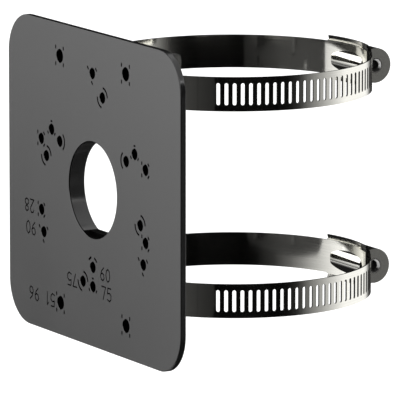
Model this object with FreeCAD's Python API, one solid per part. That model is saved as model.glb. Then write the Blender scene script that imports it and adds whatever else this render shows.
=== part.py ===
import FreeCAD, Part
import math
import os

os.makedirs("parts", exist_ok=True)

# Pole mount bracket: a drilled steel mounting plate on a thick backing
# plate, two folded steel saddles welded to the back of that, and two worm
# drive clamps whose bands pass through the saddles' ears and round the pole.
#
# Frame, in millimetres: the origin is the centre of the cable hole on the
# plate's front face. +Z is up, +X is to the right seen from the front, and
# +Y goes back towards the pole, so the front face is the plane Y = 0.

V = FreeCAD.Vector

# ---- driving dimensions ------------------------------------------------
# mounting plate
PLATE_HALF_W = 67.2          # half width, along X
PLATE_HALF_H = 61.0          # half height, along Z
PLATE_T = 2.4                # sheet thickness
PLATE_CORNER_R = 16.0
PLATE_EDGE_R = 0.35          # broken edge all round
CABLE_R = 18.55              # cable hole
SMALL_R = 2.05               # small fixing holes
LARGE_R = 2.55               # large fixing holes

# fixing holes: circles are (radius, angles), rectangles are half spacings
CIRCLE_60 = (30.0, (150.0, 30.0, -90.0))
CIRCLE_75 = (37.5, (150.0, 30.0, -90.0))
CIRCLE_90 = (45.0, (90.0, 210.0, 330.0))
CIRCLE_75_4 = (37.5, (78.0, 168.0, 258.0, 348.0))
RECT_A = (25.72, 48.25)      # large holes
RECT_B = (40.75, 13.95)      # small holes

# engraved marks round the holes
MARK_W = 0.82
MARK_D = 0.30
FIGURE_W = 0.55

# backing plate
BACK_HALF_W = 48.0
BACK_HALF_H = 56.0
BACK_T = 4.3
BACK_CORNER_R = 10.0
CHORD_Z = -17.0              # flat at the bottom of its cable hole

# pole saddles, one above and one below the cable hole
SD_HALF_W = 20.0             # to the outer faces of the ears
SD_T = 2.2
SD_IN_R = 1.0                # inside bend radius
SD_REAR_Y = 27.39            # rear edge of the ears
SD_NEAR_Z = 27.0             # end nearer the cable hole
SD_FAR_Z = 53.1
SD_CORNER_R = 1.6

# clamps
RING_Y = 62.32               # centre of the bands' circle
BAND_T = 0.69
BAND_RI = 52.65
BAND_W = 13.05
UPPER_Z = 40.55
LOWER_Z = -38.76
TAIL_GAP = 0.08              # between the tail and the fixed end under it
RISE_FROM = 61.4             # ring angles over which the tail climbs
RISE_TO = 71.2
FIXED_END_X = 16.5           # edge of the fixed end
TAIL_END_X = -12.0           # end of the tail, inside the housing
SLOT_W = 1.42
SLOT_H = 8.48
SLOT_FIRST = -36.8           # ring angle of the first slot
SLOT_STEP = 3.33
SLOT_COUNT = 42

# screw housing
HS_X0, HS_X1 = -13.9, 15.3
HS_RI, HS_RO = 54.16, 55.06  # curved back wall
LIP_Z = 8.68                 # half height over the lips
LIP_RI, LIP_RO = 52.90, 53.60  # the lips' upper edge
LIP_FOOT_RI, LIP_FOOT_RO = 53.40, 54.20
LIP_HEEL = 0.20              # bevel at the lip's foot, over the band's edge
LIP_FROM = 6.55              # half height of the fold over the band's edges
CHEEK_X1 = 8.0
CHEEK_T = 0.45
BAR_R = 6.83                 # barrel round the screw
BAR_X0, BAR_X1 = -11.70, 10.36
BAR_Y = 120.20
BAR_DZ = -0.58
BAR_FLOOR_R = 54.16          # the barrel stops here, just outside the tail
BORE_R = 4.00
END_WALL = 1.0

# worm screw
WORM_R = 3.30                # over the thread
WORM_ROOT_R = 2.50
WORM_PITCH = 3.14            # the spacing of the band's slots
WORM_END_X = 6.9             # the thread stops short of the head
GROOVE_FOOT, GROOVE_TOP = 0.9, 1.9
JOURNAL_HEAD_R = 3.00
JOURNAL_TIP_R = 2.00
JOURNAL_CLEAR = 0.05
AXIAL_CLEAR = 0.06
HEX_AF = 3.6
HEX_DEPTH = 3.4
HEX_TURN = -12.0
LEAD_R = 2.50
LEAD_FLOOR_R = 2.05          # the cone meets the hexagon here
LEAD_DEPTH = 1.20


def on_circle(radius, angle):
    a = math.radians(angle)
    return radius * math.cos(a), radius * math.sin(a)


def cyl_y(x, z, r, y0, y1):
    """A cylinder along Y."""
    return Part.makeCylinder(r, y1 - y0, V(x, y0, z), V(0, 1, 0))


def cyl_x(r, x0, x1, y, z):
    """A cylinder along X."""
    return Part.makeCylinder(r, x1 - x0, V(x0, y, z), V(1, 0, 0))


def cyl_ring(r, z0, z1):
    """A cylinder along Z on the axis of the bands."""
    return Part.makeCylinder(r, z1 - z0, V(0, RING_Y, z0), V(0, 0, 1))


# ---- mounting plate ------------------------------------------------------
def rounded_plate(half_w, half_h, y0, y1, r):
    """A plate in the X-Z plane with rounded corners."""
    box = Part.makeBox(2 * half_w, y1 - y0, 2 * half_h, V(-half_w, y0, -half_h))
    edges = [e for e in box.Edges
             if abs(e.Vertexes[0].Point.x - e.Vertexes[1].Point.x) < 1e-6
             and abs(e.Vertexes[0].Point.z - e.Vertexes[1].Point.z) < 1e-6]
    return box.makeFillet(r, edges)


def bar(x0, z0, x1, z1, w=MARK_W):
    """A straight engraved line with round ends, from point to point."""
    length = math.hypot(x1 - x0, z1 - z0)
    ux, uz = (x1 - x0) / length, (z1 - z0) / length
    px, pz = -uz * w / 2, ux * w / 2
    pts = [V(x0 + px, -1, z0 + pz), V(x0 - ux * w / 2, -1, z0 - uz * w / 2),
           V(x0 - px, -1, z0 - pz), V(x1 - px, -1, z1 - pz),
           V(x1 + ux * w / 2, -1, z1 + uz * w / 2), V(x1 + px, -1, z1 + pz)]
    wire = Part.Wire([Part.Arc(pts[0], pts[1], pts[2]).toShape(),
                      Part.LineSegment(pts[2], pts[3]).toShape(),
                      Part.Arc(pts[3], pts[4], pts[5]).toShape(),
                      Part.LineSegment(pts[5], pts[0]).toShape()])
    return Part.Face(wire).extrude(V(0, 1 + MARK_D, 0))


def arc_mark(cx, cz, r, mid, span, w=MARK_W):
    """An engraved arc round a hole."""
    def p(rad, ang):
        x, z = on_circle(rad, ang)
        return V(cx + x, -1, cz + z)
    a0, a1 = mid - span / 2, mid + span / 2
    ro, ri = r + w / 2, r - w / 2
    wire = Part.Wire([Part.Arc(p(ro, a0), p(ro, mid), p(ro, a1)).toShape(),
                      Part.LineSegment(p(ro, a1), p(ri, a1)).toShape(),
                      Part.Arc(p(ri, a1), p(ri, mid), p(ri, a0)).toShape(),
                      Part.LineSegment(p(ri, a0), p(ro, a0)).toShape()])
    return Part.Face(wire).extrude(V(0, 1 + MARK_D, 0))


def dash(cx, cz, dx, dz, way, length):
    """An engraved dash whose middle is (dx, dz) from a hole's centre."""
    ux, uz = on_circle((length - MARK_W) / 2, way)
    return bar(cx + dx - ux, cz + dz - uz, cx + dx + ux, cz + dz + uz)


# Plain figures, drawn with single strokes in a 3 by 5 grid.
STROKES = {
    "0": [[(1.5, 0.0), (0.4, 0.8), (0.0, 2.5), (0.4, 4.2), (1.5, 5.0), (2.6, 4.2),
           (3.0, 2.5), (2.6, 0.8), (1.5, 0.0)]],
    "1": [[(0.6, 4.0), (1.6, 5.0), (1.6, 0.0)]],
    "2": [[(0.2, 4.0), (0.8, 5.0), (2.4, 5.0), (2.9, 4.0), (2.6, 2.9),
           (0.1, 0.0), (3.0, 0.0)]],
    "5": [[(2.8, 5.0), (0.4, 5.0), (0.2, 2.8), (1.8, 3.2), (2.9, 2.4),
           (2.9, 0.9), (1.8, 0.0), (0.1, 0.5)]],
    "6": [[(2.5, 5.0), (0.9, 3.6), (0.1, 1.7), (0.7, 0.3), (2.0, 0.0),
           (2.9, 0.9), (2.6, 2.3), (1.4, 2.8), (0.3, 2.2)]],
    "7": [[(0.0, 5.0), (3.0, 5.0), (1.1, 0.0)]],
    "8": [[(1.5, 2.7), (0.4, 3.4), (0.4, 4.4), (1.5, 5.0), (2.6, 4.4), (2.6, 3.4),
           (1.5, 2.7), (0.2, 1.8), (0.2, 0.6), (1.5, 0.0), (2.8, 0.6), (2.8, 1.8),
           (1.5, 2.7)]],
    "9": [[(0.5, 0.0), (2.1, 1.4), (2.9, 3.3), (2.3, 4.7), (1.0, 5.0),
           (0.1, 4.1), (0.4, 2.7), (1.6, 2.2), (2.7, 2.8)]],
}


def figure(text, cx, cz, upside_down):
    """A number about (cx, cz), 5 mm tall."""
    out = []
    s = -1.0 if upside_down else 1.0
    for i, digit in enumerate(text):
        shift = 4.3 * (i - (len(text) - 1) / 2)
        for line in STROKES.get(digit, []):
            pts = [(cx + s * (x - 1.5 + shift), cz + s * (z - 2.5)) for x, z in line]
            for a, b in zip(pts, pts[1:]):
                out.append(bar(a[0], a[1], b[0], b[1], FIGURE_W))
    return out


holes = []      # (x, z, radius)
marks = []

for ang in CIRCLE_75[1]:
    x, z = on_circle(CIRCLE_75[0], ang)
    holes.append((x, z, SMALL_R))
    for a in (90.0, 210.0, 330.0):      # three sides of a triangle
        dx, dz = on_circle(3.15, a)
        marks.append(dash(x, z, dx, dz, a + 90.0, 1.45))

for ang in CIRCLE_60[1]:
    x, z = on_circle(CIRCLE_60[0], ang)
    holes.append((x, z, SMALL_R))
    inward = ang + 180.0
    if ang == -90.0:
        marks.append(arc_mark(x, z, 3.9, inward - 34.0, 36.0))
        marks.append(arc_mark(x, z, 3.9, inward + 34.0, 36.0))
    else:
        marks.append(arc_mark(x, z, 3.9, 0.0 if ang > 90.0 else 180.0, 100.0))

for ang in CIRCLE_90[1]:
    x, z = on_circle(CIRCLE_90[0], ang)
    holes.append((x, z, SMALL_R))
    for r, a in ((3.85, 153.0), (3.45, 31.0), (3.7, 267.0)):
        dx, dz = on_circle(r, a)
        marks.append(dash(x, z, dx, dz, 130.0, 1.75))

for ang in CIRCLE_75_4[1]:
    x, z = on_circle(CIRCLE_75_4[0], ang)
    holes.append((x, z, SMALL_R))
    for a in (45.0, 220.0):
        marks.append(arc_mark(x, z, 3.85, a, 80.0))

for sx in (-1, 1):
    for sz in (-1, 1):
        x, z = sx * RECT_A[0], sz * RECT_A[1]
        holes.append((x, z, LARGE_R))
        for dx in (-3.08, 2.9):
            for dz in (-3.25, 3.2):
                marks.append(dash(x, z, dx, dz, 90.0, 1.65))
        x, z = sx * RECT_B[0], sz * RECT_B[1]
        holes.append((x, z, SMALL_R))
        for dz in (-2.35, 2.25):
            marks.append(dash(x, z, -2.7, dz, 90.0, 1.6))
            marks.append(dash(x, z, 2.3, dz, -45.0 if dz > 0 else 45.0, 1.7))

# The numbers give the hole patterns' sizes in millimetres: (text, x, z, upside
# down).
FIGURES = (("28", -50.5, -13.9, True), ("90", -49.4, -22.6, True),
           ("51 96", -40.6, -48.3, True), ("75", -16.3, -37.5, True),
           ("60", 9.6, -31.3, False), ("75", 10.6, -38.6, False))

plate = rounded_plate(PLATE_HALF_W, PLATE_HALF_H, 0.0, PLATE_T, PLATE_CORNER_R)
plate = plate.makeFillet(
    PLATE_EDGE_R,
    [e for e in plate.Edges
     if abs(e.BoundBox.YMax - e.BoundBox.YMin) < 1e-6])
plate = plate.cut(cyl_y(0, 0, CABLE_R, -1, PLATE_T + 1))
plate = plate.cut([cyl_y(x, z, r, -1, PLATE_T + 1) for x, z, r in holes])
# small countersinks break the front edges of the holes
plate = plate.cut(Part.makeCone(CABLE_R + 0.35, CABLE_R, 0.35,
                                V(0, 0, 0), V(0, 1, 0)))
plate = plate.cut([Part.makeCone(r + 0.2, r, 0.2, V(x, 0, z), V(0, 1, 0))
                   for x, z, r in holes])
tools = list(marks)
for text, x, z, down in FIGURES:
    tools += figure(text, x, z, down)
plate = plate.cut(tools)
mounting_plate = plate.removeSplitter()

# ---- backing plate -------------------------------------------------------
# Thick, flat on the back of the mounting plate. The fixing holes go through
# it, and it has the rear half of the cable hole, with a flat at the bottom.
y1 = PLATE_T + BACK_T
backing = rounded_plate(BACK_HALF_W, BACK_HALF_H, PLATE_T, y1, BACK_CORNER_R)
backing = backing.makeFillet(
    0.4, [e for e in backing.Edges if e.BoundBox.YMin > y1 - 1e-6])
hole = cyl_y(0, 0, CABLE_R, 0, 12)
hole = hole.cut(Part.makeBox(60, 20, 20, V(-30, -2, CHORD_Z - 20)))
backing = backing.cut(hole)
backing = backing.cut([cyl_y(x, z, r, 0, y1 + 1) for x, z, r in holes])
backing_plate = backing.removeSplitter()

# ---- pole saddles --------------------------------------------------------
# Each is one folded strip: a web flat on the backing plate and two ears
# folded back, which bear on the pole and hold a band in closed slots.
ro = SD_IN_R + SD_T
w, wi = SD_HALF_W, SD_HALF_W - SD_T
flat = w - ro                # half width of the web between the bends
BAND_HALF = BAND_W / 2


def folded(z0, z1):
    """The folded U section between two heights."""
    def bend(cx, cy, r, a0, am, a1):
        def p(a):
            x, y = on_circle(r, a)
            return V(cx + x, cy + y, z0)
        return Part.Arc(p(a0), p(am), p(a1)).toShape()

    def seg(xa, ya, xb, yb):
        return Part.LineSegment(V(xa, ya, z0), V(xb, yb, z0)).toShape()

    yb = y1 + ro
    profile = Part.Wire([
        seg(-flat, y1, flat, y1),
        bend(flat, yb, ro, -90, -45, 0),
        seg(w, yb, w, SD_REAR_Y),
        seg(w, SD_REAR_Y, wi, SD_REAR_Y),
        seg(wi, SD_REAR_Y, wi, yb),
        bend(flat, yb, SD_IN_R, 0, -45, -90),
        seg(flat, y1 + SD_T, -flat, y1 + SD_T),
        bend(-flat, yb, SD_IN_R, -90, -135, -180),
        seg(-wi, yb, -wi, SD_REAR_Y),
        seg(-wi, SD_REAR_Y, -w, SD_REAR_Y),
        seg(-w, SD_REAR_Y, -w, yb),
        bend(-flat, yb, ro, 180, 225, 270),
    ])
    body = Part.Face(profile).extrude(V(0, 0, z1 - z0))
    return body.makeFillet(
        SD_CORNER_R,
        [e for e in body.Edges
         if e.BoundBox.YMin > SD_REAR_Y - 1e-4
         and e.BoundBox.ZMax - e.BoundBox.ZMin < 1e-4])


def band_slots(zc):
    """The pair of closed slots that one band passes through."""
    lo, hi = zc - BAND_HALF, zc + BAND_HALF + 0.6
    box = Part.makeBox(80, 3.3, hi - lo, V(-40, 11.0, lo))
    edges = [e for e in box.Edges
             if abs(e.Vertexes[0].Point.y - e.Vertexes[1].Point.y) < 1e-6
             and abs(e.Vertexes[0].Point.z - e.Vertexes[1].Point.z) < 1e-6
             and max(v.Point.z for v in e.Vertexes) > hi - 1e-6]
    return box.makeFillet(1.0, edges)


def saddle(z0, z1, zc):
    """One saddle, with clearance holes where fixing holes fall behind its web."""
    body = folded(z0, z1).cut(band_slots(zc))
    tools = [cyl_y(x, z, r + 0.4, y1 - 1, y1 + SD_T + 1) for x, z, r in holes
             if abs(x) < flat - r and z0 + r < z < z1 - r]
    return body.cut(tools).removeSplitter()


upper_saddle = saddle(SD_NEAR_Z, SD_FAR_Z, UPPER_Z)
lower_saddle = saddle(-SD_FAR_Z, -SD_NEAR_Z, LOWER_Z)

# ---- clamp band ------------------------------------------------------------
BAND_RO = BAND_RI + BAND_T
TAIL_RI = BAND_RO + TAIL_GAP
TAIL_RO = TAIL_RI + BAND_T
HALF_W = BAND_W / 2


def rp(r, ang):
    x, y = on_circle(r, ang)
    return V(x, RING_Y + y, -HALF_W)


def ring_arc(r, a0, a1):
    return Part.Arc(rp(r, a0), rp(r, (a0 + a1) / 2), rp(r, a1)).toShape()


def climb(r0, r1, a0, a1):
    """The smooth S by which the strip climbs from one radius to the other."""
    pts = []
    n = 14
    for i in range(n + 1):
        u = i / n
        s = u * u * u * (10 - 15 * u + 6 * u * u)
        pts.append(rp(r0 + (r1 - r0) * s, a0 + (a1 - a0) * u))
    def tangent(a):
        t = math.radians(a)
        return V(-math.sin(t), math.cos(t), 0)
    curve = Part.BSplineCurve()
    curve.interpolate(Points=pts, InitialTangent=tangent(a0),
                      FinalTangent=tangent(a1))
    return curve.toShape()


fixed_ang = math.degrees(math.acos(FIXED_END_X / (BAND_RI + BAND_T / 2)))
tail_ang = 360.0 + math.degrees(math.acos(TAIL_END_X / (TAIL_RI + BAND_T / 2)))
rise0, rise1 = 360.0 + RISE_FROM, 360.0 + RISE_TO
mid_ang = 225.0

outline = Part.Wire([
    ring_arc(BAND_RO, fixed_ang, mid_ang),
    ring_arc(BAND_RO, mid_ang, rise0),
    climb(BAND_RO, TAIL_RO, rise0, rise1),
    ring_arc(TAIL_RO, rise1, tail_ang),
    Part.LineSegment(rp(TAIL_RO, tail_ang), rp(TAIL_RI, tail_ang)).toShape(),
    ring_arc(TAIL_RI, tail_ang, rise1),
    climb(TAIL_RI, BAND_RI, rise1, rise0),
    ring_arc(BAND_RI, rise0, mid_ang),
    ring_arc(BAND_RI, mid_ang, fixed_ang),
    Part.LineSegment(rp(BAND_RI, fixed_ang), rp(BAND_RO, fixed_ang)).toShape(),
])
strip = Part.Face(outline).extrude(V(0, 0, BAND_W))


def slot(ang, r0):
    """One slot of the strip: a round-ended prism along the ring's radius."""
    half = SLOT_H / 2 - SLOT_W / 2
    hw = SLOT_W / 2
    def p(u, z):
        return V(r0, u, z)
    wire = Part.Wire([
        Part.LineSegment(p(-hw, -half), p(-hw, half)).toShape(),
        Part.Arc(p(-hw, half), p(0, half + hw), p(hw, half)).toShape(),
        Part.LineSegment(p(hw, half), p(hw, -half)).toShape(),
        Part.Arc(p(hw, -half), p(0, -half - hw), p(-hw, -half)).toShape(),
    ])
    tool = Part.Face(wire).extrude(V(58.0 - r0, 0, 0))
    tool.rotate(V(0, 0, 0), V(0, 0, 1), ang)
    tool.translate(V(0, RING_Y, 0))
    return tool


cutters = []
for i in range(SLOT_COUNT):
    a = SLOT_FIRST + SLOT_STEP * i
    over_fixed_end = a + 1.0 > fixed_ang
    cutters.append(slot(a, BAND_RO + TAIL_GAP / 2 if over_fixed_end else 50.0))
strip = strip.cut(cutters)

# Under the screw the fixed end is pressed inwards into a shallow dish, so
# that the worm's crests have room below the slots.
dish_out = cyl_x(BAR_R, BAR_X0, BAR_X1, BAR_Y, BAR_DZ)
dish_in = cyl_x(BAR_R - BAND_T, BAR_X0 + BAND_T, BAR_X1 - BAND_T, BAR_Y, BAR_DZ)
dish = dish_out.cut(dish_in).common(cyl_ring(BAND_RO - 0.05, -12, 12))
hollow = dish_in.common(cyl_ring(BAND_RO + TAIL_GAP / 2, -12, 12))
strip = strip.cut(hollow).fuse(dish).removeSplitter()

# ---- screw housing -----------------------------------------------------------
def clip_x(shape, x0, x1):
    return shape.common(Part.makeBox(x1 - x0, 80, 40, V(x0, RING_Y, -20)))


# The wall's section, turned about the ring's axis: a straight back, folded in
# over the band's edges above and below, with a lip that leans in slightly.
half = [(HS_RO, 0.0), (HS_RO, LIP_FROM - 0.1), (HS_RO - 0.35, LIP_FROM + 0.35),
        (LIP_FOOT_RO, LIP_FROM + 0.75), (LIP_RO, LIP_Z), (LIP_RI, LIP_Z),
        (LIP_FOOT_RI, LIP_FROM + LIP_HEEL), (LIP_FOOT_RI - LIP_HEEL, LIP_FROM),
        (HS_RI, LIP_FROM), (HS_RI, 0.0)]
section = [V(r, RING_Y, z) for r, z in half[:-1]]
section += [V(r, RING_Y, -z) for r, z in reversed(half[1:-1])]
wall = Part.Face(Part.makePolygon(section[1:] + [section[1]]))
wall = wall.revolve(V(0, RING_Y, 0), V(0, 0, 1), 360)
wall = clip_x(wall, HS_X0, HS_X1)
housing = wall
for sign in (-1, 1):
    za = HALF_W if sign > 0 else -HALF_W - CHEEK_T
    cheek = cyl_ring(HS_RI + 0.2, za, za + CHEEK_T).cut(
        cyl_ring(BAND_RI, za - 1, za + CHEEK_T + 1))
    housing = housing.fuse(clip_x(cheek, HS_X0, CHEEK_X1))
barrel = cyl_x(BAR_R, BAR_X0, BAR_X1, BAR_Y, BAR_DZ)
barrel = barrel.cut(cyl_ring(BAR_FLOOR_R, -12, 12))
housing = housing.fuse(barrel)
housing = housing.cut(cyl_x(BORE_R, BAR_X0 + END_WALL, BAR_X1 - END_WALL,
                            BAR_Y, BAR_DZ))
housing = housing.cut(cyl_x(JOURNAL_HEAD_R + JOURNAL_CLEAR, 0, 20, BAR_Y, BAR_DZ))
housing = housing.cut(cyl_x(JOURNAL_TIP_R + JOURNAL_CLEAR, -20, 0, BAR_Y, BAR_DZ))
housing = housing.removeSplitter()

# ---- worm screw ----------------------------------------------------------------
screw = cyl_x(WORM_R, BAR_X0 + END_WALL + AXIAL_CLEAR,
              BAR_X1 - END_WALL - AXIAL_CLEAR, BAR_Y, BAR_DZ)
screw = screw.fuse(cyl_x(JOURNAL_HEAD_R, BAR_X1 - END_WALL - 1, BAR_X1,
                         BAR_Y, BAR_DZ))
screw = screw.fuse(cyl_x(JOURNAL_TIP_R, BAR_X0, BAR_X0 + END_WALL + 1,
                         BAR_Y, BAR_DZ))
# the thread, one groove from the tip to the head
run = WORM_END_X - (BAR_X0 - 1.0)
helix = Part.makeHelix(WORM_PITCH, run, WORM_ROOT_R)
section = Part.makePolygon([
    V(WORM_ROOT_R, 0, -GROOVE_FOOT / 2), V(WORM_R + 0.3, 0, -GROOVE_TOP / 2),
    V(WORM_R + 0.3, 0, GROOVE_TOP / 2), V(WORM_ROOT_R, 0, GROOVE_FOOT / 2),
    V(WORM_ROOT_R, 0, -GROOVE_FOOT / 2)])
groove = Part.Wire(helix).makePipeShell([section], True, True)
groove.rotate(V(0, 0, 0), V(0, 1, 0), 90)
groove.translate(V(BAR_X0 - 1.0, BAR_Y, BAR_DZ))
screw = screw.cut(groove)
# hexagon socket with a coned lead-in
hexagon = []
for i in range(7):
    y, z = on_circle(HEX_AF / math.sqrt(3), HEX_TURN + 60 * i)
    hexagon.append(V(BAR_X1 - HEX_DEPTH, BAR_Y + y, BAR_DZ + z))
socket = Part.Face(Part.makePolygon(hexagon)).extrude(V(HEX_DEPTH + 1, 0, 0))
lead = Part.makeCone(LEAD_FLOOR_R, LEAD_R, LEAD_DEPTH,
                     V(BAR_X1 - LEAD_DEPTH, BAR_Y, BAR_DZ), V(1, 0, 0))
screw = screw.cut(socket).cut(lead).removeSplitter()

# ---- write the pieces --------------------------------------------------------------
def at(shape, z):
    out = shape.copy()
    out.translate(V(0, 0, z))
    return out


NODES = {
    "mounting_plate": mounting_plate,
    "backing_plate": backing_plate,
    "upper_saddle": upper_saddle,
    "lower_saddle": lower_saddle,
    "upper_band": at(strip, UPPER_Z),
    "lower_band": at(strip, LOWER_Z),
    "upper_housing": at(housing, UPPER_Z),
    "lower_housing": at(housing, LOWER_Z),
    "upper_worm_screw": at(screw, UPPER_Z),
    "lower_worm_screw": at(screw, LOWER_Z),
}

for name, shape in NODES.items():
    solids = shape.Solids
    print(name, "valid", shape.isValid(), "solids", len(solids),
          "volume", round(shape.Volume, 1), "box", shape.BoundBox)
    out = solids[0] if len(solids) == 1 else Part.makeCompound(solids)
    out.exportStep("parts/%s.step" % name)
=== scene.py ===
import math

import bmesh
import bpy
from mathutils import Matrix, Vector

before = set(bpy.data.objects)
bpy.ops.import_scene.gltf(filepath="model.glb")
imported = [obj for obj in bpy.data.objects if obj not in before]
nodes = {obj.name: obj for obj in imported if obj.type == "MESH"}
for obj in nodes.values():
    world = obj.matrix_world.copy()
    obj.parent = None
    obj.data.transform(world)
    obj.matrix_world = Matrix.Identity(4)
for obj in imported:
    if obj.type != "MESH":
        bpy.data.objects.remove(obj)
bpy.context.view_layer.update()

MM = 0.001

# front softbox: brightness at its middle, and its rise for each metre
SOFTBOX_LEVEL = 0.84
SOFTBOX_UP = 2.2
SOFTBOX_ACROSS = 3.5

# ---------------------------------------------------------------------------
# Shapes shared with the construction, in millimetres
# ---------------------------------------------------------------------------
RING_Y = 62.32
BAND_T = 0.69
BAND_RI = 52.65
BAND_W = 13.05
ZC = {"upper": 40.55, "lower": -38.76}
BAR_Y, BAR_DZ = 120.20, -0.58
BAR_X0, BAR_X1 = -11.70, 10.36

# ---------------------------------------------------------------------------
# Node helpers
# ---------------------------------------------------------------------------


class Tree:
    """A short way to write node trees."""

    def __init__(self, tree):
        self.t = tree

    def new(self, kind, **values):
        n = self.t.nodes.new(kind)
        for k, v in values.items():
            setattr(n, k, v)
        return n

    def link(self, a, b):
        self.t.links.new(a, b)

    def put(self, value, socket):
        if hasattr(value, "is_linked") or hasattr(value, "links"):
            self.link(value, socket)
        else:
            socket.default_value = value

    def math(self, op, a, b=None, c=None, clamp=False):
        n = self.new("ShaderNodeMath", operation=op, use_clamp=clamp)
        for v, s in zip((a, b, c), n.inputs):
            if v is not None:
                self.put(v, s)
        return n.outputs[0]

    def map(self, v, a0, a1, b0, b1, kind="LINEAR"):
        n = self.new("ShaderNodeMapRange", interpolation_type=kind)
        for x, s in zip((v, a0, a1, b0, b1), n.inputs):
            self.put(x, s)
        return n.outputs[0]

    def mix(self, f, a, b):
        """A mix of two greys or colours."""
        n = self.new("ShaderNodeMix", data_type="RGBA")
        self.put(f, n.inputs[0])
        self.put(a, n.inputs[6])
        self.put(b, n.inputs[7])
        return n.outputs[2]

    def ramp(self, v, stops, kind="LINEAR"):
        n = self.new("ShaderNodeValToRGB")
        r = n.color_ramp
        r.interpolation = kind
        while len(r.elements) > 1:
            r.elements.remove(r.elements[-1])
        r.elements[0].position = stops[0][0]
        r.elements[0].color = grey(stops[0][1])
        for p, c in stops[1:]:
            e = r.elements.new(p)
            e.color = grey(c)
        self.put(v, n.inputs[0])
        return n.outputs[0]


def grey(c):
    return (c, c, c, 1.0) if isinstance(c, (int, float)) else tuple(c) + (1.0,)


def material(name):
    m = bpy.data.materials.new(name)
    m.use_nodes = True
    t = Tree(m.node_tree)
    m.node_tree.nodes.clear()
    out = t.new("ShaderNodeOutputMaterial")
    bsdf = t.new("ShaderNodeBsdfPrincipled")
    t.link(bsdf.outputs[0], out.inputs[0])
    return m, t, bsdf


def dress(obj, mat):
    obj.data.materials.clear()
    obj.data.materials.append(mat)
    for p in obj.data.polygons:
        p.material_index = 0


# ---------------------------------------------------------------------------
# Surroundings: a bright studio, darker round the camera and towards the floor
# ---------------------------------------------------------------------------
def srgb(v):
    """Linear value of an 8 bit grey."""
    v = v / 255.0
    return v / 12.92 if v <= 0.04045 else ((v + 0.055) / 1.055) ** 2.4


world = bpy.data.worlds.new("studio")
bpy.context.scene.world = world
world.use_nodes = True
world.node_tree.nodes.clear()
w = Tree(world.node_tree)
direction = w.new("ShaderNodeTexCoord").outputs["Generated"]
sep = w.new("ShaderNodeSeparateXYZ")
w.link(direction, sep.inputs[0])
# share of the full turn, from +X towards +Y, from 0 to 1
turn = w.math("DIVIDE", w.math("ARCTAN2", sep.outputs[1], sep.outputs[0]), 2 * math.pi)
turn = w.math("FRACT", w.math("ADD", turn, 1.0))
height = sep.outputs[2]


def at(deg):
    return (deg % 360.0) / 360.0


# brightness of the low zone, round the object
STOPS = [
    (at(-132), 0.95), (at(-122), 0.78), (at(-110), 0.56), (at(-92), 0.26), (at(-80), 0.12),
    (at(-66), 0.030), (at(-50), 0.003), (at(-40), 0.0006), (at(-18), 0.002), (at(6), 0.0008),
    (at(14), 0.003), (at(20), 0.010), (at(26), 0.028), (at(32), 0.108), (at(38), 0.205),
    (at(44), 0.295), (at(56), 0.510), (at(76), 1.0),
    (at(112), 1.0), (at(117), 0.80), (at(122), 0.33), (at(127), 0.06), (at(150), 0.015),
    (at(160), 0.45), (at(172), 0.70), (at(190), 0.95),
]
around = w.ramp(turn, sorted(STOPS, key=lambda s: s[0]))
# towards the floor it darkens
down = w.map(height, -0.40, -0.24, 0.0, 1.0, "SMOOTHSTEP")
gain = w.new("ShaderNodeVectorMath", operation="SCALE")
w.link(around, gain.inputs[0])
gain.inputs["Scale"].default_value = 1.06
low = w.mix(down, grey(0.012), gain.outputs[0])
# a thin dark horizon, then the bright upper half
sky = w.ramp(turn, sorted([
    (at(0), 0.30), (at(10), 0.015), (at(50), 0.015), (at(66), 0.5), (at(100), 0.55),
    (at(116), 0.3), (at(124), 0.003), (at(168), 0.003), (at(200), 1.0), (at(290), 1.0),
    (at(335), 0.5)], key=lambda s: s[0]))
gain = w.new("ShaderNodeVectorMath", operation="SCALE")
w.link(sky, gain.inputs[0])
gain.inputs["Scale"].default_value = 1.8
sky = gain.outputs[0]
# overhead softbox, brightest towards the front
top = w.ramp(turn, sorted([
    (at(0), 0.36), (at(10), 0.31), (at(100), 0.33), (at(134), 0.42), (at(141), 0.004),
    (at(170), 0.004), (at(190), 0.45), (at(206), 1.0), (at(290), 1.0), (at(320), 0.6)],
    key=lambda s: s[0]))
strip = w.math("MULTIPLY", w.map(height, 0.43, 0.45, 0.0, 1.0, "SMOOTHSTEP"),
               w.map(height, 0.48, 0.50, 1.0, 0.0, "SMOOTHSTEP"))
top = w.mix(w.math("MULTIPLY", strip, w.math("LESS_THAN", turn, 0.22)), top, grey(1.6))
overhead = w.map(height, 0.40, 0.46, 0.0, 1.0, "SMOOTHSTEP")
bright = w.new("ShaderNodeVectorMath", operation="SCALE")
w.link(top, bright.inputs[0])
bright.inputs["Scale"].default_value = 1.9
# with a dark gap to the left of the object
gap = w.math("MULTIPLY", w.math("GREATER_THAN", turn, at(172)),
             w.math("LESS_THAN", turn, at(236)))
gap = w.math("MULTIPLY", gap, w.map(height, 0.64, 0.68, 1.0, 0.0, "SMOOTHSTEP"))
low_edge = w.math("SUBTRACT", w.math("MULTIPLY", turn, 1.224), 0.337)
gap = w.math("MULTIPLY", gap, w.map(w.math("SUBTRACT", height, low_edge), 0.0, 0.02,
                                    0.0, 1.0, "SMOOTHSTEP"))
sky = w.mix(overhead, sky, bright.outputs[0])
sky = w.mix(gap, sky, grey(0.01))
horizon = w.map(height, -0.055, -0.04, 0.0, 1.0, "SMOOTHSTEP")
below = w.mix(horizon, low, grey(0.004))
upper = w.map(height, 0.035, 0.055, 0.0, 1.0, "SMOOTHSTEP")
all_round = w.mix(upper, below, sky)
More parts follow.
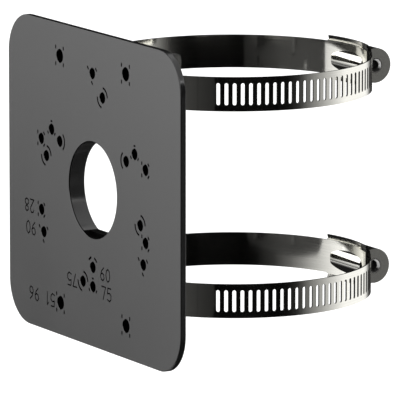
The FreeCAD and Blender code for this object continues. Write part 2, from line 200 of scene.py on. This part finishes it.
# a reflector low in front of the object
ahead = w.math("MULTIPLY", w.math("GREATER_THAN", turn, 0.43), w.math("LESS_THAN", turn, 0.74))
under = w.math("MULTIPLY", ahead, w.map(height, -0.74, -0.66, 1.0, 0.0, "SMOOTHSTEP"))
all_round = w.mix(under, all_round, grey(1.0))
glossy = w.new("ShaderNodeBackground")
w.link(all_round, glossy.inputs[0])
glossy.inputs[1].default_value = 1.0
plain = w.new("ShaderNodeBackground")
plain.inputs[0].default_value = grey(1.0)
plain.inputs[1].default_value = 1.0
path = w.new("ShaderNodeLightPath")
mixer = w.new("ShaderNodeMixShader")
w.link(path.outputs["Is Glossy Ray"], mixer.inputs[0])
w.link(plain.outputs[0], mixer.inputs[1])
w.link(glossy.outputs[0], mixer.inputs[2])
world_out = w.new("ShaderNodeOutputWorld")
w.link(mixer.outputs[0], world_out.inputs[0])

# a softbox in front of the plate and to the left of the camera, brighter
# towards its upper right, which only shows in glossy surfaces
def plane(name, centre, across, upward, width, tall):
    mesh = bpy.data.meshes.new(name)
    across, upward = Vector(across).normalized(), Vector(upward).normalized()
    pts = [across * (sx * width / 2) + upward * (sy * tall / 2)
           for sx, sy in ((-1, -1), (1, -1), (1, 1), (-1, 1))]
    mesh.from_pydata([tuple(q) for q in pts], [], [(0, 1, 2, 3)])
    o = bpy.data.objects.new(name, mesh)
    o.location = centre
    bpy.context.scene.collection.objects.link(o)
    return o


ray = Vector((-0.850, -0.494, -0.180))
box_across = Vector((0.494, -0.850, 0.0)).normalized()
box_up = box_across.cross(ray).normalized()
if box_up.z < 0:
    box_up = -box_up
softbox = plane("front_softbox", ray * 1.5, box_across, box_up, 0.40, 0.46)
sm = bpy.data.materials.new("front_softbox")
sm.use_nodes = True
sm.node_tree.nodes.clear()
st = Tree(sm.node_tree)
sc = st.new("ShaderNodeTexCoord").outputs["Object"]


def project(vec):
    n = st.new("ShaderNodeVectorMath", operation="DOT_PRODUCT")
    st.link(sc, n.inputs[0])
    n.inputs[1].default_value = tuple(vec)
    return n.outputs["Value"]


level = st.math("ADD", st.math("MULTIPLY", project(box_up), SOFTBOX_UP),
                st.math("MULTIPLY", project(box_across), SOFTBOX_ACROSS))
level = st.math("MAXIMUM", st.math("ADD", level, SOFTBOX_LEVEL), 0.1)
se = st.new("ShaderNodeEmission")
st.put(level, se.inputs["Strength"])
so = st.new("ShaderNodeOutputMaterial")
st.link(se.outputs[0], so.inputs[0])
softbox.data.materials.append(sm)
softbox.visible_camera = False
softbox.visible_diffuse = False
softbox.visible_transmission = False
softbox.visible_shadow = False

# pale floor, well below the bracket, which hangs on its pole
bm = bmesh.new()
bmesh.ops.create_grid(bm, x_segments=8, y_segments=8, size=12.0)
me = bpy.data.meshes.new("floor")
bm.to_mesh(me)
bm.free()
floor = bpy.data.objects.new("floor", me)
bpy.context.scene.collection.objects.link(floor)
floor.location = (0, 0, -0.32)
floor.visible_glossy = False
fm, ft, fb = material("floor")
fb.inputs["Base Color"].default_value = grey(0.95)
fb.inputs["Roughness"].default_value = 0.9
fb.inputs["Emission Color"].default_value = grey(1.0)
fb.inputs["Emission Strength"].default_value = 0.35
dress(floor, fm)

# ---------------------------------------------------------------------------
# Camera at the photograph's viewpoint
# ---------------------------------------------------------------------------
K = 37.5 / 38.0 * MM
az, el, roll = math.radians(59.834), math.radians(10.38), math.radians(0.04)
back = Vector((math.sin(az) * math.cos(el), -math.cos(az) * math.cos(el), math.sin(el)))
right = Vector((math.cos(az), math.sin(az), 0.0))
up = back.cross(right)
c, s = math.cos(roll), math.sin(roll)
right, up = right * c + up * s, up * c - right * s
t = Vector((-41.472, 3.826, -2168.456)) * K
centre = -(right * t.x + up * t.y + back * t.z)
cam_data = bpy.data.cameras.new("camera")
cam = bpy.data.objects.new("camera", cam_data)
bpy.context.scene.collection.objects.link(cam)
cam.matrix_world = Matrix((
    (right.x, up.x, back.x, centre.x),
    (right.y, up.y, back.y, centre.y),
    (right.z, up.z, back.z, centre.z),
    (0, 0, 0, 1),
))
cam_data.sensor_width = 36.0
cam_data.lens = 5617.472 / 400.0 * 36.0
cam_data.clip_start = 0.1
cam_data.clip_end = 60.0
bpy.context.scene.camera = cam
bpy.context.scene.view_settings.view_transform = "Standard"

# ---------------------------------------------------------------------------
# Materials
# ---------------------------------------------------------------------------
# satin black powder coat, with bare dark ground in the engraved marks,
# and painted shade on the walls of the small holes and low in the cable hole
black, b, p = material("black_paint")
coord = b.new("ShaderNodeTexCoord").outputs["Object"]
geo = b.new("ShaderNodeNewGeometry")
fine = b.new("ShaderNodeTexNoise")
fine.inputs["Scale"].default_value = 1500.0
fine.inputs["Detail"].default_value = 3.0
b.link(coord, fine.inputs["Vector"])
broad = b.new("ShaderNodeTexNoise")
broad.inputs["Scale"].default_value = 30.0
broad.inputs["Detail"].default_value = 4.0
b.link(coord, broad.inputs["Vector"])
place = b.new("ShaderNodeSeparateXYZ")
b.link(coord, place.inputs[0])
facing = b.new("ShaderNodeSeparateXYZ")
b.link(geo.outputs["True Normal"], facing.inputs[0])


def inside(v, lo, hi):
    return b.math("MULTIPLY", b.math("GREATER_THAN", v, lo), b.math("LESS_THAN", v, hi))


px_, py_, pz_ = place.outputs
floor_of_mark = b.math("MULTIPLY", inside(py_, 0.0001, 0.0005),
                       b.math("LESS_THAN", facing.outputs[1], -0.5))
from_axis = b.math("SQRT", b.math("ADD", b.math("MULTIPLY", px_, px_),
                                  b.math("MULTIPLY", pz_, pz_)))


def well_inside(half_w, half_h, r, margin):
    """1 where a point is further inside a rounded rectangle than margin."""
    qx = b.math("SUBTRACT", b.math("ABSOLUTE", px_), (half_w - r) * MM)
    qz = b.math("SUBTRACT", b.math("ABSOLUTE", pz_), (half_h - r) * MM)
    ax, az_ = b.math("MAXIMUM", qx, 0.0), b.math("MAXIMUM", qz, 0.0)
    far = b.math("SQRT", b.math("ADD", b.math("MULTIPLY", ax, ax), b.math("MULTIPLY", az_, az_)))
    near = b.math("MINIMUM", b.math("MAXIMUM", qx, qz), 0.0)
    return b.math("LESS_THAN", b.math("ADD", far, near), (r - margin) * MM)


on_plate = well_inside(67.2, 61.0, 16.0, 1.0)
away = b.math("MULTIPLY", on_plate, b.math("GREATER_THAN", from_axis, 0.0196))
side_wall = b.math("LESS_THAN", b.math("ABSOLUTE", facing.outputs[1]), 0.5)
front_half = b.math("LESS_THAN", py_, 0.0066)
not_back_edge = well_inside(48.0, 56.0, 10.0, 0.8)
wall_front = b.math("MULTIPLY", side_wall, b.math("LESS_THAN", py_, 0.00239))
wall_rear = b.math("MULTIPLY", b.math("MULTIPLY", side_wall, front_half), not_back_edge)
# painted shade: the walls of the small holes in the plate and web are made near black
wall = b.math("MULTIPLY", away, b.math("MAXIMUM", wall_front, wall_rear))
# painted shade: the flat at the bottom of the cable hole and the ledge in front of it are made
# near black
cable_hole_shade = b.math("MULTIPLY", b.math("LESS_THAN", pz_, -0.01688),
                  b.math("LESS_THAN", from_axis, 0.0188))
cable_hole_shade = b.math("MULTIPLY", cable_hole_shade, inside(py_, 0.00028, 0.0066))
# the engraved marks' own dark ground, plus the painted shade of the hole walls and the cable
# hole's flat
dark = b.math("MAXIMUM", b.math("MAXIMUM", floor_of_mark, wall), cable_hole_shade)
tone = b.map(broad.outputs[0], 0.3, 0.7, 0.011, 0.014)
# the ears of the saddles: painted light on their faces turned to +X, and a painted highlight on
# their upward faces
behind = b.math("GREATER_THAN", py_, 0.0095)
ear_side_light = b.math("MULTIPLY", behind, b.math("GREATER_THAN", facing.outputs[0], 0.5))
ear_top_highlight = b.math("MULTIPLY", behind, b.math("GREATER_THAN", facing.outputs[2], 0.5))
tone = b.math("ADD", tone, b.math("ADD", b.math("MULTIPLY", ear_side_light, 0.016),
                                  b.math("MULTIPLY", ear_top_highlight, 0.11)))
# painted shade on the plate's outer edge that faces +X, made darker
right_edge_shade = b.math("MULTIPLY", b.math("LESS_THAN", py_, 0.0024),
                  b.math("GREATER_THAN", facing.outputs[0], 0.5))
right_edge_shade = b.math("MULTIPLY", right_edge_shade, b.math("SUBTRACT", 1.0, on_plate))
tone = b.math("SUBTRACT", tone, b.math("MULTIPLY", right_edge_shade, 0.008))
# painted light: the faces that look back get their own grey and a metallic finish, a copy of the
# paint set for how light falls on them
back_faces_relit = b.math("MULTIPLY", b.math("LESS_THAN", py_, 0.0095),
              b.math("GREATER_THAN", facing.outputs[1], 0.5))
tone = b.mix(back_faces_relit, tone, grey(0.057))
b.put(b.mix(dark, tone, grey(0.0015)), p.inputs["Base Color"])
b.put(b.math("MAXIMUM", dark, back_faces_relit), p.inputs["Metallic"])
shine = b.map(broad.outputs[0], 0.3, 0.7, 0.17, 0.20)
b.put(b.math("ADD", shine, b.math("MULTIPLY", dark, 0.7)), p.inputs["Roughness"])
p.inputs["Specular IOR Level"].default_value = 1.0
bump = b.new("ShaderNodeBump")
bump.inputs["Strength"].default_value = 0.06
bump.inputs["Distance"].default_value = 0.00005
b.link(fine.outputs[0], bump.inputs["Height"])
b.link(bump.outputs[0], p.inputs["Normal"])


def steel(name, colour, rough, brush, spread, cut_shade=None):
    """Bright stainless steel with fine lines along the rolled direction.

    With the last argument as (colour, roughness), faces that are neither on
    the outside nor on the inside of the ring, such as the punched walls of the
    slots, are duller and painted in that dark colour as shade.
    """
    m, n, p = material(name)
    coord = n.new("ShaderNodeTexCoord").outputs["Object"]
    squeeze = n.new("ShaderNodeMapping")
    squeeze.inputs["Scale"].default_value = brush
    n.link(coord, squeeze.inputs["Vector"])
    lines = n.new("ShaderNodeTexNoise")
    lines.inputs["Scale"].default_value = 1.0
    lines.inputs["Detail"].default_value = 4.0
    n.link(squeeze.outputs[0], lines.inputs["Vector"])
    face = n.mix(n.map(lines.outputs[0], 0.35, 0.65, 0.0, 1.0),
                 grey(colour), grey(tuple(x * 0.94 for x in colour)))
    shine = n.map(lines.outputs[0], 0.3, 0.7, rough, rough + spread)
    if cut_shade:
        pos = n.new("ShaderNodeSeparateXYZ")
        n.link(coord, pos.inputs[0])
        nor = n.new("ShaderNodeSeparateXYZ")
        n.link(n.new("ShaderNodeNewGeometry").outputs["True Normal"], nor.inputs[0])
        y = n.math("SUBTRACT", pos.outputs[1], RING_Y * MM)
        r = n.math("SQRT", n.math("ADD", n.math("MULTIPLY", pos.outputs[0], pos.outputs[0]),
                                  n.math("MULTIPLY", y, y)))
        along = n.math("ABSOLUTE", n.math("DIVIDE", n.math(
            "ADD", n.math("MULTIPLY", pos.outputs[0], nor.outputs[0]),
            n.math("MULTIPLY", y, nor.outputs[1])), r))
        level = n.math("ABSOLUTE", nor.outputs[2])
        # painted shade: the slot walls and other cut faces take the dark colour
        cut = n.math("MULTIPLY", n.math("LESS_THAN", along, 0.5),
                     n.math("LESS_THAN", level, cut_shade[2]))
        face = n.mix(cut, face, grey(cut_shade[0]))
        shine = n.math("ADD", shine, n.math("MULTIPLY", cut, cut_shade[1]))
    n.put(face, p.inputs["Base Color"])
    p.inputs["Metallic"].default_value = 1.0
    n.put(shine, p.inputs["Roughness"])
    bump = n.new("ShaderNodeBump")
    bump.inputs["Strength"].default_value = 0.03
    bump.inputs["Distance"].default_value = 0.00002
    n.link(lines.outputs[0], bump.inputs["Height"])
    n.link(bump.outputs[0], p.inputs["Normal"])
    return m


# the band's slot walls are painted near black as shade
band_steel = steel("stainless_band", (0.93, 0.918, 0.855), 0.06, (40, 40, 2500), 0.05,
                   cut_shade=((0.05, 0.05, 0.048), 0.35, 0.99))
housing_steel = steel("stainless_housing", (0.92, 0.908, 0.845), 0.10, (60, 900, 900), 0.05)
screw_steel = steel("screw_steel", (0.62, 0.61, 0.58), 0.22, (900, 300, 300), 0.08)


def screw_end(m):
    """The socket is painted dark inside as shade, and its lead-in cone carries a painted
    highlight on its upper, rear side and painted shade on the rest.
    """
    n = Tree(m.node_tree)
    p = [x for x in m.node_tree.nodes if x.type == "BSDF_PRINCIPLED"][0]
    pos = n.new("ShaderNodeSeparateXYZ")
    n.link(n.new("ShaderNodeTexCoord").outputs["Object"], pos.inputs[0])
    y = n.math("SUBTRACT", pos.outputs[1], BAR_Y * MM)
    upper = n.math("GREATER_THAN", pos.outputs[2], 0.0)
    z = n.math("SUBTRACT", pos.outputs[2], n.math("ADD", n.math(
        "MULTIPLY", upper, (ZC["upper"] - ZC["lower"]) * MM), (ZC["lower"] + BAR_DZ) * MM))
    r = n.math("SQRT", n.math("ADD", n.math("MULTIPLY", y, y), n.math("MULTIPLY", z, z)))
    nor = n.new("ShaderNodeSeparateXYZ")
    n.link(n.new("ShaderNodeNewGeometry").outputs["True Normal"], nor.inputs[0])
    x = pos.outputs[0]
    inner = n.math("MULTIPLY", n.math("LESS_THAN", r, 0.00252),
                   n.math("GREATER_THAN", x, (BAR_X1 - 3.6) * MM))
    cone = n.math("MULTIPLY", inner, n.math("MULTIPLY", n.math(
        "GREATER_THAN", nor.outputs[0], 0.2), n.math("LESS_THAN", nor.outputs[0], 0.6)))
    side = n.math("DIVIDE", n.math("ADD", n.math("MULTIPLY", y, 0.85),
                                   n.math("MULTIPLY", z, 0.52)), n.math("MAXIMUM", r, 0.0001))
    lit = n.map(side, 0.30, 0.70, 0.0, 1.0, "SMOOTHSTEP")
    face = n.math("MULTIPLY", n.math("GREATER_THAN", nor.outputs[0], 0.9),
                  n.math("GREATER_THAN", x, (BAR_X1 - 0.1) * MM))
    recess = n.math("MULTIPLY", inner, n.math("SUBTRACT", 1.0, n.math("MAXIMUM", cone, face)))
    base = p.inputs["Base Color"].links[0].from_socket
    rough = p.inputs["Roughness"].links[0].from_socket
    # painted highlight on the lead-in cone's upper, rear side; painted shade on its other side
    # and inside the socket
    bright = n.math("MULTIPLY", cone, lit)
    screw_shade = n.math("MAXIMUM", recess, n.math("MULTIPLY", cone, n.math("SUBTRACT", 1.0, lit)))
    base = n.mix(screw_shade, base, grey((0.035, 0.035, 0.034)))
    n.link(n.mix(bright, base, grey((0.98, 0.98, 0.97))), p.inputs["Base Color"])
    n.link(n.math("SUBTRACT", 1.0, n.math("MAXIMUM", bright, n.math("MULTIPLY", screw_shade, 0.5))),
           p.inputs["Metallic"])
    n.link(n.math("ADD", rough, n.math("MULTIPLY", screw_shade, 0.2)), p.inputs["Roughness"])


screw_end(screw_steel)


def housing_end(m):
    """The right end of the housing's wall is painted near black as shade, and made rougher."""
    n = Tree(m.node_tree)
    p = [x for x in m.node_tree.nodes if x.type == "BSDF_PRINCIPLED"][0]
    pos = n.new("ShaderNodeSeparateXYZ")
    n.link(n.new("ShaderNodeTexCoord").outputs["Object"], pos.inputs[0])
    x = pos.outputs[0]
    y = n.math("SUBTRACT", pos.outputs[1], RING_Y * MM)
    r = n.math("SQRT", n.math("ADD", n.math("MULTIPLY", x, x), n.math("MULTIPLY", y, y)))
    # painted shade on the housing's right end, inside radius 55.3 mm
    end = n.math("MULTIPLY", n.math("GREATER_THAN", x, 9.6 * MM),
                 n.math("LESS_THAN", r, 55.3 * MM))
    base = p.inputs["Base Color"].links[0].from_socket
    rough = p.inputs["Roughness"].links[0].from_socket
    n.link(n.mix(end, base, grey((0.02, 0.02, 0.02))), p.inputs["Base Color"])
    n.link(n.math("ADD", rough, n.math("MULTIPLY", end, 0.3)), p.inputs["Roughness"])


housing_end(housing_steel)

for name, mat in (("mounting_plate", black), ("backing_plate", black),
                  ("upper_saddle", black), ("lower_saddle", black),
                  ("upper_band", band_steel), ("lower_band", band_steel),
                  ("upper_housing", housing_steel), ("lower_housing", housing_steel),
                  ("upper_worm_screw", screw_steel), ("lower_worm_screw", screw_steel)):
    dress(nodes[name], mat)
